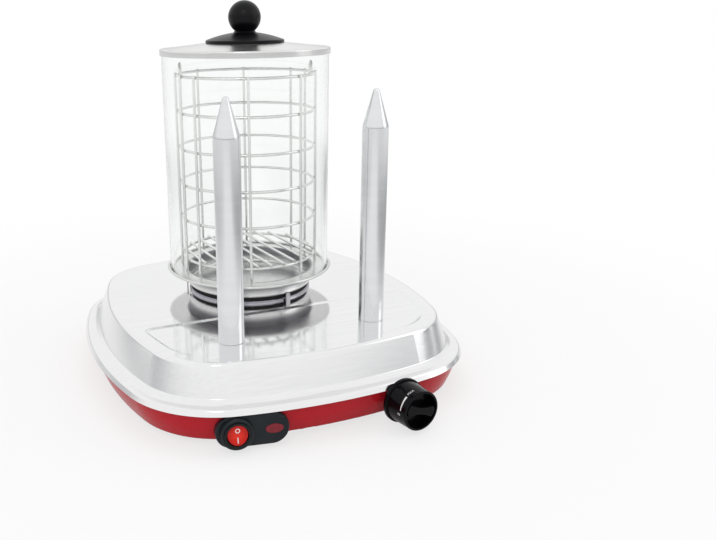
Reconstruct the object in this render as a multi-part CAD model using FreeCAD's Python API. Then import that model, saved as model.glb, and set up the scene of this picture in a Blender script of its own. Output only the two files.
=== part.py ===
import FreeCAD, Part
import math
import os

V = FreeCAD.Vector
UP = V(0, 0, 1)
RIGHT = V(1, 0, 0)
BACK = V(0, 1, 0)

# Hot dog toaster. Origin: on the table, under the middle of the flat top's plan.
# +X is the object's right, -Y its front, +Z up. All sizes are in millimetres and degrees.

# Plan of the flat top: two end arcs, two side arcs and four corners
plan_half_width = 143.5
plan_half_depth = 150.0
front_arc_r = 430.0
back_arc_r = 446.0
side_arc_r = 362.0
side_bulge_y = -5.0
corner_r = 65.0

# Heights of the base
foot_h = 5.5
base_h = 61.0
plateau_z = foot_h + base_h

# Top cover: sheet thickness, then how far each edge of its section lies out and down
sheet_t = 0.8
shoulder_r = 4.0
wall_foot_r = 1.2
flange_r = 7.0
lip_r = 2.4
wall_run = 9.7
wall_drop = 26.1
cove_run = 4.6
cove_drop = 3.3
flange_run = 21.0
flange_drop = 29.9
lip_run = 23.4
lip_drop = 34.5

# Sunk panel in the flat top
panel_drop = 1.2
panel_inset = 12.0
panel_slope = 3.0
panel_back_y = -43.5
panel_corner_r = 8.0

# Base pan: its section under the flange
pan_t = 2.0
pan_gap = 0.3
hole_gap = 0.3
pan_top_run = 20.0
pan_belly_run = 17.2
pan_belly_drop = 46.5
pan_belly_r = 60.0
pan_foot_run = 11.0
pan_corner_r = 5.0
pan_floor_w = 24.0

# Bottom plate, feet, posts and screws
plate_t = 1.2
plate_inset = 8.0
vent_w = 4.0
vent_l = 44.0
vent_pitch = 11.0
vent_rows = 5
foot_r = 8.0
foot_inset = 7.0
foot_stem_r = 3.0
foot_head_r = 4.2
foot_head_t = 1.2
post_r = 4.0
post_inset = 25.0
screw_r = 2.0
screw_head_r = 3.8
screw_head_t = 2.4
thread_gap = 0.05
screw_grip = 14.0
slot_w = 1.0
slot_depth = 1.0

# Steam stack: everything on the upright axis behind the middle
axis_y = 32.5
seat_r = 59.6
seat_rise = 2.6
seat_round = 1.2
seal_h = 2.9
seal_r = 57.4
seal_w = 7.5
bowl_t = 0.8
bowl_r = 60.0
bowl_corner_r = 2.5
bowl_neck_r = 1.5
flange_h = 22.2
rim_bead_r = 1.25
rim_gap = 0.4
glass_outer_r = 77.5
glass_wall = 3.0
glass_h = 207.8
tab_w = 4.6
tab_t = 1.2
tab_h = 7.0
tab_round = 1.4
tab_phase = -75.0

# Heater under the bowl
heater_r = 48.0
heater_t = 8.0
heater_gap = 2.0
element_ring_r = 34.0
element_r = 3.3
element_gap_angle = 50.0
element_bend_r = 5.0
element_leg = 14.0
element_fit = 0.05
bridge_w = 18.0
bridge_t = 2.5
bridge_half = 53.0
bridge_foot = 13.0
bridge_drop = 18.0
bridge_foot_r = 1.0
bridge_bend_r = 3.0
heater_nut_af = 10.0
heater_nut_t = 5.0
stud_over = 3.0
stud_r = 3.0
cutout_r = 8.0
cutout_h = 9.0
cutout_y = 20.0
cutout_blade_l = 6.0

# Lid
lid_gap = 0.7
lid_skirt = 5.8
lid_rise = 4.2
lid_flat_r = 38.0
lid_dome_r = 30.0
lid_seat_r = 12.0
lid_edge_r = 1.5
lid_knob_foot_r = 36.4
lid_knob_foot_h = 2.8
lid_knob_bevel = 0.6
lid_knob_mid_r = 24.5
lid_knob_mid_h = 6.4
lid_neck_r = 10.6
lid_neck_h = 9.2
lid_neck_top_r = 9.3
lid_ball_r = 15.0
lid_ball_z = 22.6
lid_screw_r = 2.5
lid_screw_depth = 18.0
lid_screw_head_r = 5.0
lid_screw_head_t = 3.0
lid_washer_r = 8.0
lid_washer_t = 0.8

# Basket of wire: a straight cage that stands on the bowl's flange
wire_r = 1.3
weld_sink = 0.2
seat_gap = 0.3
basket_r = 65.9
basket_leg = 13.5
basket_first_gap = 38.3
basket_head_room = 22.7
ring_count = 5
upright_count = 8
upright_phase = 26.0
upright_over = 2.0
stay_bearing = 6.9
rod_pitch = 12.6
rod_count = 10
grip_w = 12.0
grip_rise = 4.0
grip_bend_r = 5.9
grip_upright = 1

# Toasting spikes
spike_x = 66.0
spike_y = -97.0
spike_r = 11.0
spike_h = 200.5
spike_cone = 31.0
spike_tip_r = 2.2
spike_foot_r = 0.5
spike_shoulder_r = 8.0
spike_crown_r = 1.6
spike_stud_r = 5.0
spike_stud_l = 15.0
rod_heater_r = 3.1
rod_heater_gap = 0.1
rod_heater_l = 150.0
rod_heater_tail = 9.0
spike_washer_r = 9.0
spike_washer_t = 1.5
spike_nut_af = 16.0
spike_nut_t = 6.0

# Control pod on the front, left of the middle
pod_angle = -9.5
pod_out = 22.0
pod_half = 29.5
pod_r = 13.5
pod_drop = 48.8
pod_edge_r = 1.4
skin_gap = 0.1
barrel_side = -13.0
barrel_r = 13.1
barrel_out = 27.0
barrel_edge_r = 1.2
switch_flange_r = 10.7
switch_flange_t = 2.0
switch_flange_proud = 1.0
switch_r = 9.9
switch_l = 25.0
switch_bore_r = 8.8
switch_bore_depth = 11.0
fit_gap = 0.2
rocker_r = 8.0
rocker_proud = 0.6
rocker_depth = 8.8
rocker_pivot = 5.3
rocker_tilt = 7.5
rocker_hollow_r = 26.0
trunnion_r = 1.2
trunnion_l = 0.9
trunnion_gap = 0.05
blade_w = 4.8
blade_t = 0.8
blade_l = 8.0
blade_pitch = 5.0
lens_side = 17.3
lens_half = 7.35
lens_rise = 3.95
lens_t = 3.0
lens_proud = 0.5
lens_gap = 0.1
lens_edge_r = 0.4
lamp_r = 3.0
lamp_l = 16.0

# Thermostat and its knob on the front, right of the middle
dial_angle = 7.0
dial_drop = 45.4
pad_r = 10.9
pad_out = 19.6
collar_r = 10.5
collar_wall = 1.9
collar_l = 4.4
bush_r = 5.0
bush_l = 17.0
bush_over = 0.4
dial_nut_af = 14.0
dial_nut_t = 3.0
shaft_r = 3.0
shaft_gap = 0.05
stat_w = 34.0
stat_h = 25.0
stat_low = 12.0
stat_d = 18.0
knob_gap = 0.4
knob_skirt_r = 19.1
knob_skirt_t = 3.2
knob_drum_r = 17.6
knob_face_r = 16.9
knob_drum_l = 21.6
knob_edge_r = 0.8
skirt_back_r = 0.4
drum_foot_r = 0.3
knob_rim_w = 1.9
knob_pocket_depth = 8.0
knob_bar_waist = 5.8
knob_bar_end = 9.6
knob_bar_gap = 1.1
knob_turn = -14.5
knob_shaft_depth = 14.0

# Cord gland in the back, and the wiring inside
gland_drop = 44.0
gland_flange_r = 9.0
gland_flange_out = 21.5
gland_r = 6.8
gland_bore_r = 3.6
gland_in = 7.0
block_x = 34.0
block_y = 96.0
block_w = 36.0
block_d = 18.0
block_h = 14.0
lead_r = 1.1
lead_bend_r = 9.0
lead_pitch = 8.0
lead_end = 14.0
element_lead_run = 10.0
lead_turn_r = 4.0


def fillet_path(points, radii):
    """Edges through the points, with each inner corner rounded by its radius."""
    edges = []
    start = points[0]
    for i in range(1, len(points) - 1):
        corner = points[i]
        radius = radii[i - 1]
        if radius <= 0:
            edges.append(Part.LineSegment(start, corner).toShape())
            start = corner
            continue
        before = (points[i - 1] - corner).normalize()
        after = (points[i + 1] - corner).normalize()
        half = math.acos(max(-1.0, min(1.0, before.dot(after)))) / 2
        middle = (before + after).normalize()
        reach = radius / math.tan(half)
        centre = corner + middle * (radius / math.sin(half))
        into = corner + before * reach
        out = corner + after * reach
        if (into - start).Length > 1e-6:
            edges.append(Part.LineSegment(start, into).toShape())
        edges.append(Part.Arc(into, centre - middle * radius, out).toShape())
        start = out
    edges.append(Part.LineSegment(start, points[-1]).toShape())
    return edges


def flat(points):
    """2D points (out, up) as vectors in the XZ plane."""
    return [V(p[0], 0, p[1]) for p in points]


def beside(points, radii, t):
    """The path moved by t to its right, with its corner radii made to suit."""
    turns = []
    moved = []
    sides = []
    for a, b in zip(points, points[1:]):
        along = (b - a).normalize()
        right = V(along.z, 0, -along.x)
        sides.append((a + right * t, along))
    moved.append(sides[0][0])
    for (a, along), (b, after) in zip(sides, sides[1:]):
        cross = along.x * after.z - along.z * after.x
        gap = b - a
        step = (gap.x * after.z - gap.z * after.x) / cross
        moved.append(a + along * step)
        turns.append(1 if cross > 0 else -1)
    last = points[-1] - points[-2]
    moved.append(sides[-1][0] + last)
    return moved, [r + t * s if r > 0 else 0 for r, s in zip(radii, turns)]


def closed_face(edges):
    return Part.Face(Part.Wire(Part.__sortEdges__(edges)))


def sheet_face(points, radii, t):
    """Section of a sheet of thickness t that lies to the right of a rounded path."""
    other, other_radii = beside(points, radii, t)
    edges = fillet_path(points, radii)
    edges += fillet_path(other, other_radii)
    edges.append(Part.LineSegment(points[0], other[0]).toShape())
    edges.append(Part.LineSegment(points[-1], other[-1]).toShape())
    return closed_face(edges)


def outline_face(points, radii):
    """Face inside a rounded path whose last point joins the first."""
    edges = fillet_path(points, radii)
    edges.append(Part.LineSegment(points[-1], points[0]).toShape())
    return closed_face(edges)


def spin(face):
    return face.revolve(V(0, 0, 0), UP, 360)


def on_axis(shape, z):
    """Places a turned piece on the steam stack's upright axis."""
    return shape.translated(V(0, axis_y, z))


def disc(r, z0, z1, x=0.0, y=0.0):
    return Part.makeCylinder(r, z1 - z0, V(x, y, z0))


def ring(outer, inner, z0, z1, x=0.0, y=0.0):
    return disc(outer, z0, z1, x, y).cut(disc(inner, z0 - 1, z1 + 1, x, y))


def hexagon(across_flats, t, base, direction):
    """Hexagonal prism whose axis starts at base and runs along direction."""
    r = across_flats / math.sqrt(3)
    corners = [FreeCAD.Rotation(UP, 60 * i).multVec(V(r, 0, 0)) for i in range(7)]
    prism = Part.Face(Part.makePolygon(corners)).extrude(V(0, 0, t))
    prism.Placement = FreeCAD.Placement(base, FreeCAD.Rotation(UP, direction))
    return prism


def nut(across_flats, t, bore, base, direction):
    body = hexagon(across_flats, t, base, direction)
    return body.cut(Part.makeCylinder(bore, t + 2, base - direction, direction))


def box(x0, x1, y0, y1, z0, z1):
    return Part.makeBox(x1 - x0, y1 - y0, z1 - z0, V(x0, y0, z0))


def tube_along(points, radii, r):
    """Round wire of radius r along a rounded path."""
    edges = fillet_path(points, radii)
    path = Part.Wire(edges)
    circle = Part.Wire(Part.makeCircle(r, points[0], points[1] - points[0]))
    return path.makePipeShell([circle], True, False)


def meet(centre_a, r_a, centre_b, r_b):
    """Rightmost crossing of two circles in plan."""
    between = centre_b - centre_a
    d = between.Length
    along = (r_a * r_a - r_b * r_b + d * d) / (2 * d)
    high = math.sqrt(r_a * r_a - along * along)
    middle = centre_a + between * (along / d)
    side = V(-between.y, between.x, 0) * (high / d)
    return max(middle + side, middle - side, key=lambda p: p.x)


FRONT_CENTRE = V(0, front_arc_r - plan_half_depth, 0)
BACK_CENTRE = V(0, plan_half_depth - back_arc_r, 0)
SIDE_CENTRE = V(plan_half_width - side_arc_r, side_bulge_y, 0)
FRONT_CORNER = meet(FRONT_CENTRE, front_arc_r - corner_r, SIDE_CENTRE, side_arc_r - corner_r)
BACK_CORNER = meet(BACK_CENTRE, back_arc_r - corner_r, SIDE_CENTRE, side_arc_r - corner_r)


def bearing(centre, point):
    return math.degrees(math.atan2(point.y - centre.y, point.x - centre.x))


def plan_arcs():
    """Centre, radius and end bearings of the plan's eight arcs, anticlockwise from the front."""
    front = bearing(FRONT_CENTRE, FRONT_CORNER)
    side_low = bearing(SIDE_CENTRE, FRONT_CORNER)
    side_high = bearing(SIDE_CENTRE, BACK_CORNER)
    back = bearing(BACK_CENTRE, BACK_CORNER)
    right = [(FRONT_CORNER, corner_r, front, side_low), (SIDE_CENTRE, side_arc_r, side_low, side_high)]
    right.append((BACK_CORNER, corner_r, side_high, back))
    left = [(V(-c.x, c.y, 0), r, 180 - a1, 180 - a0) for c, r, a0, a1 in reversed(right)]
    first = (FRONT_CENTRE, front_arc_r, -180 - front, front)
    last = (BACK_CENTRE, back_arc_r, back, 180 - back)
    return [first] + right + [last] + left


ARCS = plan_arcs()


def plan_wire(run, z):
    """Plan outline moved outwards by run, at height z."""
    edges = []
    for centre, r, a0, a1 in ARCS:
        circle = Part.Circle(centre + V(0, 0, z), UP, r + run)
        edges.append(circle.toShape(math.radians(a0), math.radians(a1)))
    return Part.Wire(edges)


def plan_plate(run, z0, z1):
    return Part.Face(plan_wire(run, z0)).extrude(V(0, 0, z1 - z0))


def plan_band(section):
    """Sweeps a section (a function of the arc's radius) round the whole plan."""
    pieces = []
    for centre, r, a0, a1 in ARCS:
        piece = section(r).revolve(V(0, 0, 0), UP, a1 - a0)
        piece.rotate(V(0, 0, 0), UP, a0)
        piece.translate(centre)
        pieces.append(piece)
    return pieces[0].fuse(pieces[1:])


def one_solid(shape):
    """The single solid of a joined shape, without its inner seams."""
    return shape.removeSplitter().Solids[0]


def at_front(shape, angle):
    """Turns a piece built at the middle of the front round to its place on the front arc."""
    return shape.rotated(FRONT_CENTRE, UP, angle)


def front_y(out):
    return -(plan_half_depth + out)


def front_rod(r, out0, out1, x=0.0, z=0.0):
    """Level cylinder on the front, between two distances out from the plan."""
    return Part.makeCylinder(r, out1 - out0, V(x, front_y(out0), z), V(0, -1, 0))


def back_rod(r, out0, out1, x=0.0, z=0.0):
    return Part.makeCylinder(r, out1 - out0, V(x, plan_half_depth + out0, z), BACK)


POD_Z = plateau_z - pod_drop
DIAL_Z = plateau_z - dial_drop
GLAND_Z = plateau_z - gland_drop


def cover_section(r):
    points = [(r - panel_inset, plateau_z), (r, plateau_z), (r + wall_run, plateau_z - wall_drop)]
    points.append((r + wall_run + cove_run, plateau_z - wall_drop - cove_drop))
    points.append((r + flange_run, plateau_z - flange_drop))
    points.append((r + lip_run, plateau_z - lip_drop))
    return sheet_face(flat(points), [shoulder_r, wall_foot_r, flange_r, lip_r], sheet_t)


def panel_outline(inset, z):
    """D-shaped outline of the sunk panel, moved inwards by inset."""
    half = Part.Face(plan_wire(-panel_inset - inset, z))
    reach = plan_half_width + plan_half_depth
    keep = box(-reach, reach, -2 * reach, panel_back_y - inset, z - 1, z + 1)
    face = half.common(keep).Faces[0]
    corners = [v.Point for v in face.Vertexes if abs(v.Point.y - (panel_back_y - inset)) < 0.01]
    return rounded_back(face, corners, z, inset)


def rounded_back(face, corners, z, inset):
    """Rounds the two back corners of the D by clipping the face with a round-cornered block."""
    left = min(p.x for p in corners)
    right = max(p.x for p in corners)
    r = panel_corner_r
    low = panel_back_y - inset - 2 * plan_half_depth
    high = panel_back_y - inset
    block = box(left - 1, right + 1, low, high, z - 1, z + 1)
    for x, outer in ((left + r, left - 1), (right - r, right + 1)):
        corner = box(min(x, outer), max(x, outer), high - r, high + 1, z - 2, z + 2)
        block = block.cut(corner.cut(disc(r, z - 2, z + 2, x, high - r)))
    return face.common(block).Faces[0].OuterWire


def sunk_tool(extra, z_top):
    """Tapered block that sinks the panel; extra widens it for the sheet's underside."""
    top = panel_outline(-extra, z_top)
    low = panel_outline(panel_slope - extra, z_top - panel_drop)
    return Part.makeLoft([top, low], True, True)


def bowl_seat(inset):
    """Low round step pressed up in the flat top for the bowl; inset gives the sheet's underside."""
    low = plateau_z - sheet_t - inset
    step = disc(seat_r - inset, low, plateau_z + seat_rise - inset)
    crown = max(step.Edges, key=lambda e: e.CenterOfMass.z)
    return on_axis(step.makeFillet(seat_round, [crown]), 0)


def make_top_cover():
    rim = plan_band(cover_section)
    top = plan_plate(1 - panel_inset, plateau_z - sheet_t, plateau_z)
    shell = rim.fuse(top)
    under = plan_plate(2 - panel_inset, plateau_z - sheet_t - panel_drop, plateau_z - sheet_t)
    under = under.common(sunk_tool(sheet_t, plateau_z - sheet_t))
    shell = shell.fuse(under).cut(sunk_tool(0, plateau_z))
    shell = shell.fuse(bowl_seat(0)).cut(bowl_seat(sheet_t))
    shell = shell.cut(on_axis(disc(heater_r + heater_gap, -wall_drop, seat_rise + 1), plateau_z))
    for side in (-1, 1):
        hole = disc(spike_stud_r + fit_gap, plateau_z - wall_drop, plateau_z + 1, side * spike_x, spike_y)
        shell = shell.cut(hole)
    return one_solid(shell)


def pan_path(r):
    top = plateau_z - flange_drop - sheet_t - pan_gap
    points = [(r + pan_top_run, top), (r + pan_belly_run, plateau_z - pan_belly_drop)]
    points += [(r + pan_foot_run, foot_h), (r + pan_foot_run - pan_floor_w, foot_h)]
    return flat(points), [pan_belly_r, pan_corner_r]


def pan_section(r):
    points, radii = pan_path(r)
    return sheet_face(points, radii, pan_t)


def skin_section(r):
    """Section that fills the pan and reaches a skin gap outside it."""
    points, radii = pan_path(r)
    points, radii = beside(points, radii, -skin_gap)
    inner = r + pan_foot_run - pan_floor_w
    tail = [V(inner, 0, points[-1].z), V(inner, 0, points[0].z)]
    return outline_face(points[:-1] + tail, radii + [0, 0])


def pan_skin():
    """Space that the pan, its inside and what lies below it fill, for trimming what sits on it."""
    core = plan_plate(pan_foot_run - pan_corner_r, 0, plateau_z - flange_drop)
    return plan_band(skin_section).fuse(core)


def make_base_pan():
    pan = plan_band(pan_section)
    pad = at_front(front_rod(pad_r, pan_foot_run, pad_out, 0, DIAL_Z), dial_angle)
    inside = plan_plate(pan_foot_run - 2 * pan_t, foot_h + 2 * pan_t, plateau_z - flange_drop)
    pan = pan.fuse(pad.cut(inside))
    pan = pan.cut(at_front(front_rod(bush_r + hole_gap, 0, 2 * pad_out, 0, DIAL_Z), dial_angle))
    pan = pan.cut(at_front(front_rod(switch_r + hole_gap, 0, 2 * pod_out, barrel_side, POD_Z), pod_angle))
    pan = pan.cut(at_front(front_rod(lamp_r + hole_gap, 0, 2 * pod_out, lens_side, POD_Z), pod_angle))
    pan = pan.cut(back_rod(gland_r + fit_gap, 0, 2 * gland_flange_out, 0, GLAND_Z))
    for x, y in foot_places():
        pan = pan.cut(disc(foot_stem_r + skin_gap, 0, foot_h + 2 * pan_t, x, y))
    return one_solid(pan)


def corner_places(inset):
    """Four points on the corners' diagonals, inset from the plan."""
    places = []
    for centre, r, a0, a1 in ARCS:
        if r == corner_r:
            angle = math.radians((a0 + a1) / 2)
            reach = r - inset
            places.append((centre.x + reach * math.cos(angle), centre.y + reach * math.sin(angle)))
    return places


def foot_places():
    return corner_places(foot_inset)


def make_bottom_plate():
    plate = plan_plate(pan_foot_run - plate_inset, foot_h - plate_t, foot_h)
    for x, y in foot_places():
        plate = plate.cut(disc(foot_stem_r + skin_gap, 0, foot_h + 1, x, y))
    for x, y in corner_places(post_inset):
        plate = plate.cut(disc(screw_r + fit_gap, 0, foot_h + 1, x, y))
    for side in (-1, 1):
        for row in range(vent_rows):
            y = (row - (vent_rows - 1) / 2) * vent_pitch
            plate = plate.cut(vent(side * plan_half_width / 2, y))
    return plate


def vent(x, y):
    straight = vent_l - vent_w
    low = foot_h - plate_t - 1
    slot = box(x - straight / 2, x + straight / 2, y - vent_w / 2, y + vent_w / 2, low, foot_h + 1)
    for side in (-1, 1):
        slot = slot.fuse(disc(vent_w / 2, low, foot_h + 1, x + side * straight / 2, y))
    return slot


def make_feet():
    feet = []
    for x, y in foot_places():
        pad_top = foot_h - plate_t
        pad = Part.makeCone(foot_r - 1, foot_r, pad_top, V(x, y, 0))
        stem = disc(foot_stem_r, 0, foot_h + pan_t + foot_head_t, x, y)
        head = disc(foot_head_r, foot_h + pan_t, foot_h + pan_t + foot_head_t, x, y)
        feet.append(pad.fuse([stem, head]).removeSplitter())
    return Part.makeCompound(feet)


def post_top(y):
    under = plateau_z - sheet_t
    return under - panel_drop if y < panel_back_y else under


def make_posts():
    posts = []
    for x, y in corner_places(post_inset):
        post = disc(post_r, foot_h, post_top(y), x, y)
        posts.append(post.cut(disc(screw_r + thread_gap, foot_h - 1, foot_h + screw_grip + 2, x, y)))
    return Part.makeCompound(posts)


def make_base_screws():
    screws = []
    for x, y in corner_places(post_inset):
        under = foot_h - plate_t
        shank = disc(screw_r, under - 1, foot_h + screw_grip, x, y)
        head = disc(screw_head_r, under - screw_head_t, under, x, y)
        low = under - screw_head_t
        half = slot_w / 2
        slot = box(x - screw_head_r, x + screw_head_r, y - half, y + half, low - 1, low + slot_depth)
        screws.append(shank.fuse(head.cut(slot)).removeSplitter())
    return Part.makeCompound(screws)


SEAT_Z = plateau_z + seat_rise
BOWL_UNDER = SEAT_Z + seal_h
BOWL_FLOOR = BOWL_UNDER + bowl_t
FLANGE_TOP = plateau_z + flange_h
RIM_R = glass_outer_r + rim_gap + rim_bead_r


def make_bowl_seal():
    return ring(seal_r, seal_r - seal_w, SEAT_Z, BOWL_UNDER, 0, axis_y)


def make_steam_bowl():
    points = flat([(0, BOWL_FLOOR), (bowl_r, BOWL_FLOOR), (bowl_r, FLANGE_TOP), (RIM_R, FLANGE_TOP)])
    shell = spin(sheet_face(points, [bowl_corner_r, bowl_neck_r], bowl_t))
    bead = Part.makeTorus(RIM_R, rim_bead_r, V(0, 0, FLANGE_TOP + rim_bead_r / 2))
    return on_axis(shell.fuse(bead).removeSplitter(), 0)


def make_bowl_tabs():
    """Three small tabs on the flat top that keep the bowl from shifting."""
    tabs = []
    outer = bowl_r + bowl_t + seat_gap
    top = plateau_z + tab_h
    tab = box(outer, outer + tab_t, -tab_w / 2, tab_w / 2, plateau_z, top)
    corners = [e for e in tab.Edges if e.CenterOfMass.z > top - 0.01 and abs(e.CenterOfMass.y) > tab_w / 4]
    tab = tab.makeFillet(tab_round, corners)
    for i in range(3):
        tabs.append(on_axis(tab.rotated(V(0, 0, 0), UP, tab_phase + 120 * i), 0))
    return Part.makeCompound(tabs)


def make_glass():
    return ring(glass_outer_r, glass_outer_r - glass_wall, FLANGE_TOP, FLANGE_TOP + glass_h, 0, axis_y)


HEATER_UNDER = BOWL_UNDER - heater_t
BRIDGE_TOP = plateau_z - sheet_t
BRIDGE_LOW = BRIDGE_TOP - bridge_drop - bridge_t


def element_end(side):
    """Where the element's ring ends, and the level direction in which it runs on."""
    angle = 90 + side * element_gap_angle / 2
    out = FreeCAD.Rotation(UP, angle).multVec(RIGHT)
    along = FreeCAD.Rotation(UP, -side * 90).multVec(out)
    return out * element_ring_r + UP * HEATER_UNDER, along


def element_foot(side):
    """Lower end of one of the element's two legs, below its bend."""
    end, along = element_end(side)
    return end + along * element_bend_r - UP * element_leg


def element_core(r):
    """The ring element with its two bends and legs, with wire radius r."""
    edges = []
    for side in (-1, 1):
        end, along = element_end(side)
        foot = element_foot(side)
        top = end + (along - UP) * element_bend_r
        middle = end - UP * element_bend_r + (along + UP) * (element_bend_r * math.sqrt(0.5))
        edges.append(Part.LineSegment(foot, top).toShape())
        edges.append(Part.Arc(top, middle, end).toShape())
    far = V(0, -element_ring_r, HEATER_UNDER)
    edges.append(Part.Arc(element_end(-1)[0], far, element_end(1)[0]).toShape())
    path = Part.Wire(Part.__sortEdges__(edges))
    circle = Part.Wire(Part.makeCircle(r, element_foot(-1), UP))
    return path.makePipeShell([circle], True, False)


def make_heater_plate():
    plate = disc(heater_r, HEATER_UNDER, BOWL_UNDER)
    plate = plate.cut(element_core(element_r + element_fit))
    stud = disc(stud_r, BRIDGE_LOW - heater_nut_t - stud_over, HEATER_UNDER + 1)
    return on_axis(plate.fuse(stud).removeSplitter(), 0)


def make_heater_element():
    return on_axis(element_core(element_r), 0)


def make_heater_bridge():
    low = BRIDGE_TOP - bridge_drop
    points = [(-bridge_half - bridge_foot, BRIDGE_TOP), (-bridge_half, BRIDGE_TOP), (-bridge_half, low)]
    points += [(-x, z) for x, z in reversed(points)]
    radii = [bridge_foot_r, bridge_bend_r, bridge_bend_r, bridge_foot_r]
    strap = sheet_face(flat(points), radii, bridge_t).extrude(V(0, bridge_w, 0))
    strap.translate(V(0, -bridge_w / 2, 0))
    strap = strap.cut(disc(stud_r + fit_gap, BRIDGE_LOW - 1, BRIDGE_TOP))
    return on_axis(strap, 0)


def make_heater_nut():
    base = V(0, axis_y, BRIDGE_LOW - heater_nut_t)
    return nut(heater_nut_af, heater_nut_t, stud_r + thread_gap, base, UP)


def make_thermal_cutout():
    low = HEATER_UNDER - cutout_h
    can = disc(cutout_r, low, HEATER_UNDER, 0, cutout_y)
    for side in (-1, 1):
        x = side * cutout_r / 2
        half = blade_t / 2
        can = can.fuse(box(x - half, x + half, cutout_y, cutout_y + blade_w, low - cutout_blade_l, low))
    return on_axis(can.removeSplitter(), 0)


LID_UNDER = FLANGE_TOP + glass_h
LID_R = glass_outer_r + lid_gap + sheet_t
LID_TOP = LID_UNDER + sheet_t + lid_rise


def make_lid_plate():
    edge = LID_UNDER + sheet_t
    points = [(0, LID_TOP), (lid_flat_r, LID_TOP), (glass_outer_r - glass_wall - 1, edge), (LID_R, edge)]
    points.append((LID_R, edge - lid_skirt))
    face = sheet_face(flat(points), [lid_dome_r, lid_seat_r, lid_edge_r], sheet_t)
    plate = spin(face).cut(disc(lid_screw_r + fit_gap, LID_UNDER, LID_TOP + 1))
    return on_axis(plate, 0)


def make_lid_knob():
    foot_top = V(lid_knob_foot_r - lid_knob_bevel, 0, lid_knob_foot_h)
    mid = V(lid_knob_mid_r, 0, lid_knob_mid_h)
    neck = V(lid_neck_r, 0, lid_neck_h)
    drop = math.sqrt(lid_ball_r ** 2 - lid_neck_top_r ** 2)
    neck_top = V(lid_neck_top_r, 0, lid_ball_z - drop)
    crown = V(0, 0, lid_ball_z + lid_ball_r)
    waist = V(lid_ball_r, 0, lid_ball_z)
    base = [V(0, 0, 0), V(lid_knob_foot_r, 0, 0), V(lid_knob_foot_r, 0, lid_knob_foot_h - lid_knob_bevel)]
    base.append(foot_top)
    edges = [Part.LineSegment(a, b).toShape() for a, b in zip(base, base[1:])]
    edges.append(Part.Arc(foot_top, mid, neck).toShape())
    edges.append(Part.LineSegment(neck, neck_top).toShape())
    edges.append(Part.Arc(neck_top, waist, crown).toShape())
    edges.append(Part.LineSegment(crown, base[0]).toShape())
    knob = spin(closed_face(edges))
    knob = knob.cut(disc(lid_screw_r + thread_gap, -1, lid_screw_depth + hole_gap))
    return on_axis(knob, LID_TOP)


def make_lid_washer():
    under = LID_TOP - sheet_t
    return on_axis(ring(lid_washer_r, lid_screw_r + fit_gap, under - lid_washer_t, under), 0)


def make_lid_screw():
    under = LID_TOP - sheet_t - lid_washer_t
    shank = disc(lid_screw_r, under - 1, LID_TOP + lid_screw_depth)
    low = under - lid_screw_head_t
    half = slot_w / 2
    head = disc(lid_screw_head_r, low, under)
    slot = box(-lid_screw_head_r, lid_screw_head_r, -half, half, low - 1, low + slot_depth)
    return on_axis(shank.fuse(head.cut(slot)).removeSplitter(), 0)


BASKET_FOOT = FLANGE_TOP + seat_gap
BASKET_FLOOR = BASKET_FOOT + basket_leg
BASKET_TOP = LID_UNDER - basket_head_room
RING_PITCH = (BASKET_TOP - BASKET_FLOOR - basket_first_gap) / (ring_count - 1)
RING_HEIGHTS = [BASKET_TOP - RING_PITCH * (ring_count - 1 - i) for i in range(ring_count)]
RING_R = basket_r - 2 * wire_r + weld_sink


def make_basket_rings():
    heights = [BASKET_FLOOR] + RING_HEIGHTS
    rings = [Part.makeTorus(RING_R, wire_r, V(0, axis_y, z)) for z in heights]
    return Part.makeCompound(rings)


def upright_angle(i):
    return upright_phase + 360.0 / upright_count * i


def make_basket_uprights():
    """Upright wires all round, and a stay on each side next to the lifting loops."""
    bearings = [upright_angle(i) for i in range(upright_count)] + [stay_bearing, stay_bearing + 180]
    wire = disc(wire_r, BASKET_FOOT, BASKET_TOP + upright_over, basket_r, 0)
    wires = [on_axis(wire.rotated(V(0, 0, 0), UP, bearing), 0) for bearing in bearings]
    return Part.makeCompound(wires)


def rod_turn():
    """Bearing of the floor rods: midway between two uprights."""
    return upright_phase + 360.0 / upright_count * 1.5 - 90


def make_basket_floor():
    rods = []
    z = BASKET_FLOOR + 2 * wire_r - weld_sink
    for i in range(rod_count):
        x = (i - (rod_count - 1) / 2) * rod_pitch
        half = math.sqrt(RING_R * RING_R - x * x)
        rod = Part.makeCylinder(wire_r, 2 * half, V(x, -half, z), BACK)
        rods.append(on_axis(rod.rotated(V(0, 0, 0), UP, rod_turn()), 0))
    return Part.makeCompound(rods)


def make_basket_grips():
    grips = []
    r = RING_R - 2 * wire_r + weld_sink
    half = grip_w / 2
    low = BASKET_TOP - 2 * wire_r
    high = BASKET_TOP + grip_rise + half
    points = [V(r, -half, low), V(r, -half, high), V(r, half, high), V(r, half, low)]
    loop = tube_along(points, [grip_bend_r, grip_bend_r], wire_r)
    for i in (grip_upright, grip_upright + upright_count // 2):
        grips.append(on_axis(loop.rotated(V(0, 0, 0), UP, upright_angle(i) - 90), 0))
    return Part.makeCompound(grips)


SPIKE_SEAT = plateau_z - panel_drop
SPIKE_UNDER = SPIKE_SEAT - sheet_t


def make_spike(side):
    tip = plateau_z + spike_h
    points = [(0, SPIKE_SEAT), (spike_r, SPIKE_SEAT), (spike_r, tip - spike_cone)]
    points += [(spike_tip_r, tip), (0, tip)]
    spike = spin(outline_face(flat(points), [spike_foot_r, spike_shoulder_r, spike_crown_r]))
    spike = spike.fuse(disc(spike_stud_r, SPIKE_SEAT - spike_stud_l, SPIKE_SEAT + 1)).removeSplitter()
    bore = disc(rod_heater_r + rod_heater_gap, SPIKE_SEAT - spike_stud_l - 1, SPIKE_SEAT + rod_heater_l + 1)
    return spike.cut(bore).translated(V(side * spike_x, spike_y, 0))


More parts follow.
